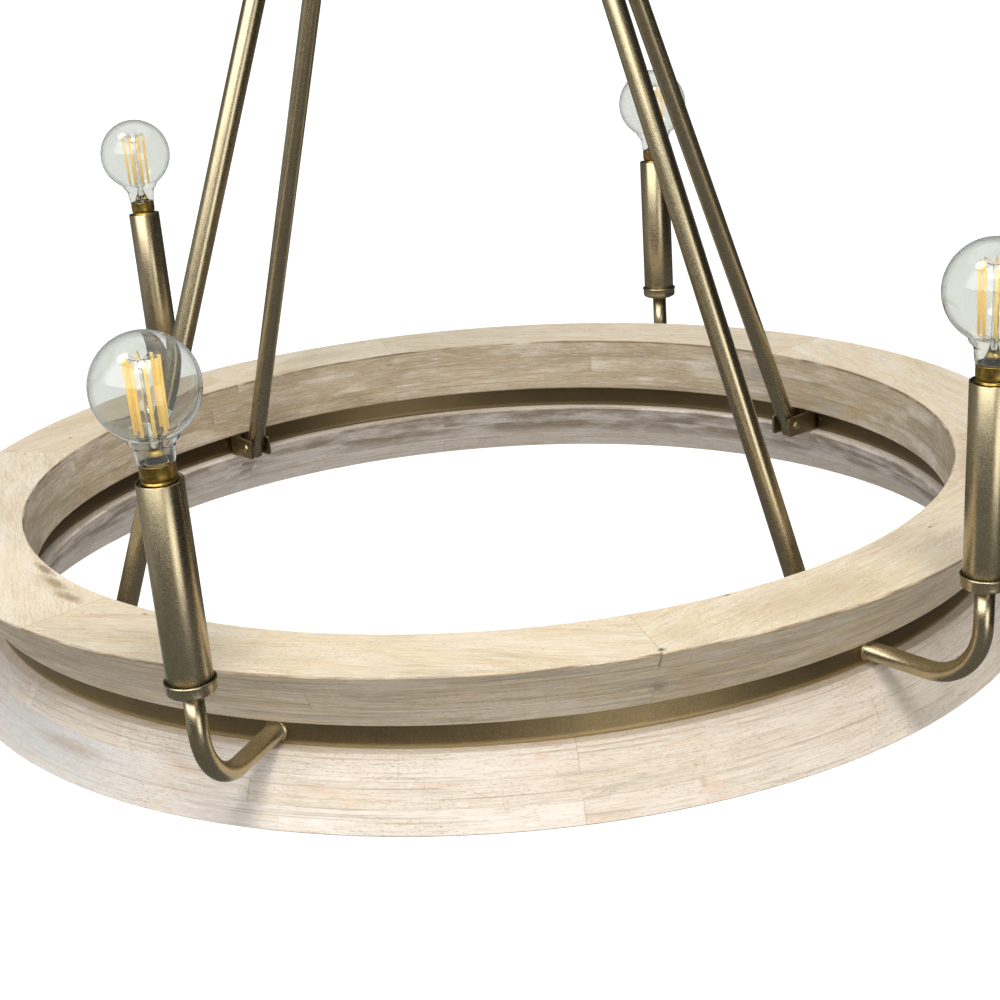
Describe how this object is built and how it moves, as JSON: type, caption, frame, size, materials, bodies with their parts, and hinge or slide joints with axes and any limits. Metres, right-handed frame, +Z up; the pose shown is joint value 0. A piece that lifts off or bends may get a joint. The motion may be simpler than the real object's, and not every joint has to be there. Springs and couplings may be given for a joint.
{
  "type": "wagon wheel chandelier",
  "caption": "Wagon wheel chandelier with a whitewashed wooden double ring on a metal hoop, hung by rods and a short chain, with candle lights on bent arms.",
  "frame": {"origin": "centre of the mounting strap's slot pattern, on the strap's top face, which lies on the ceiling", "axes": "+Z up into the ceiling; +X through the first light and the first rod; +Y to the left of +X seen from above"},
  "size_m": [1.3014, 1.1378, 1.1979],
  "materials": {
    "wood": "whitewashed pine, open grain, matt",
    "brass": "steel in a weathered brass finish, satin",
    "screws": "plated steel, brassy",
    "zinc": "zinc plated steel",
    "wiring": "insulated wire",
    "socket": "moulded phenolic",
    "bulb": "clear glass on a brass screw base"
  },
  "bodies": {
    "ceiling": {"mounting_strap": "zinc", "strap_nut": "zinc", "strap_nipple": "zinc", "canopy_loop": "brass"},
    "canopy": {"canopy": "brass"},
    "collar": {"screw_collar": "brass"},
    "link_1": {"chain_link_1": "brass"},
    "link_2": {"chain_link_2": "brass"},
    "link_3": {"chain_link_3": "brass"},
    "fixture": {"hub_loop": "brass", "hub_body": "brass", "hub_cap": "brass", "hub_nut": "brass", "rod_1": "brass", "rod_2": "brass", "rod_3": "brass", "rod_4": "brass", "ring_clevis_1": "brass", "ring_clevis_2": "brass", "ring_clevis_3": "brass", "ring_clevis_4": "brass", "clevis_rivets": "screws", "pivot_screws": "screws", "pivot_nuts": "screws", "hoop": "brass", "hoop_wiring": "wiring", "ring_screws": "zinc", "upper_layer_1": "wood", "upper_layer_2": "wood", "upper_layer_3": "wood", "lower_layer_1": "wood", "lower_layer_2": "wood", "lower_layer_3": "wood", "arm_1": "brass", "arm_2": "brass", "arm_3": "brass", "arm_4": "brass", "arm_5": "brass", "arm_6": "brass", "cup_1": "brass", "cup_2": "brass", "cup_3": "brass", "cup_4": "brass", "cup_5": "brass", "cup_6": "brass", "cup_nuts": "screws", "sockets": "socket"},
    "sleeve_1": {"sleeve_1": "brass"},
    "sleeve_2": {"sleeve_2": "brass"},
    "sleeve_3": {"sleeve_3": "brass"},
    "sleeve_4": {"sleeve_4": "brass"},
    "sleeve_5": {"sleeve_5": "brass"},
    "sleeve_6": {"sleeve_6": "brass"},
    "bulb_1": {"bulb_1": "bulb"},
    "bulb_2": {"bulb_2": "bulb"},
    "bulb_3": {"bulb_3": "bulb"},
    "bulb_4": {"bulb_4": "bulb"},
    "bulb_5": {"bulb_5": "bulb"},
    "bulb_6": {"bulb_6": "bulb"}
  },
  "joints": [
    {"name": "collar_unscrew", "type": "slide", "parent": "ceiling", "child": "collar", "axis": [0, 0, -1], "range_m": [0, 0.012]},
    {"name": "canopy_drop", "type": "slide", "parent": "ceiling", "child": "canopy", "axis": [0, 0, -1], "range_m": [0, 0.012]},
    {"name": "link_1_swing", "type": "hinge", "parent": "ceiling", "child": "link_1", "pos_m": [0, 0, -0.064], "axis": [1, 0, 0], "range_deg": [-15, 15]},
    {"name": "link_2_swing", "type": "hinge", "parent": "link_1", "child": "link_2", "pos_m": [0, 0, -0.0919], "axis": [0, 1, 0], "range_deg": [-15, 15]},
    {"name": "link_3_swing", "type": "hinge", "parent": "link_2", "child": "link_3", "pos_m": [0, 0, -0.1198], "axis": [1, 0, 0], "range_deg": [-15, 15]},
    {"name": "fixture_swing", "type": "hinge", "parent": "link_3", "child": "fixture", "pos_m": [0, 0, -0.1477], "axis": [0, 1, 0], "range_deg": [-15, 15]},
    {"name": "sleeve_1_lift", "type": "slide", "parent": "fixture", "child": "sleeve_1", "axis": [0, 0, 1], "range_m": [0, 0.025]},
    {"name": "sleeve_2_lift", "type": "slide", "parent": "fixture", "child": "sleeve_2", "axis": [0, 0, 1], "range_m": [0, 0.025]},
    {"name": "sleeve_3_lift", "type": "slide", "parent": "fixture", "child": "sleeve_3", "axis": [0, 0, 1], "range_m": [0, 0.025]},
    {"name": "sleeve_4_lift", "type": "slide", "parent": "fixture", "child": "sleeve_4", "axis": [0, 0, 1], "range_m": [0, 0.025]},
    {"name": "sleeve_5_lift", "type": "slide", "parent": "fixture", "child": "sleeve_5", "axis": [0, 0, 1], "range_m": [0, 0.025]},
    {"name": "sleeve_6_lift", "type": "slide", "parent": "fixture", "child": "sleeve_6", "axis": [0, 0, 1], "range_m": [0, 0.025]},
    {"name": "bulb_1_turn", "type": "hinge", "parent": "fixture", "child": "bulb_1", "pos_m": [0.611, 0, -0.8054], "axis": [0, 0, 1], "range_deg": [0, 1800]},
    {"name": "bulb_2_turn", "type": "hinge", "parent": "fixture", "child": "bulb_2", "pos_m": [0.3055, 0.52914, -0.8054], "axis": [0, 0, 1], "range_deg": [0, 1800]},
    {"name": "bulb_3_turn", "type": "hinge", "parent": "fixture", "child": "bulb_3", "pos_m": [-0.3055, 0.52914, -0.8054], "axis": [0, 0, 1], "range_deg": [0, 1800]},
    {"name": "bulb_4_turn", "type": "hinge", "parent": "fixture", "child": "bulb_4", "pos_m": [-0.611, 0, -0.8054], "axis": [0, 0, 1], "range_deg": [0, 1800]},
    {"name": "bulb_5_turn", "type": "hinge", "parent": "fixture", "child": "bulb_5", "pos_m": [-0.3055, -0.52914, -0.8054], "axis": [0, 0, 1], "range_deg": [0, 1800]},
    {"name": "bulb_6_turn", "type": "hinge", "parent": "fixture", "child": "bulb_6", "pos_m": [0.3055, -0.52914, -0.8054], "axis": [0, 0, 1], "range_deg": [0, 1800]}
  ],
  "couplings": [
    {"joint": "canopy_drop", "follows": "collar_unscrew", "ratio": 1}
  ]
}
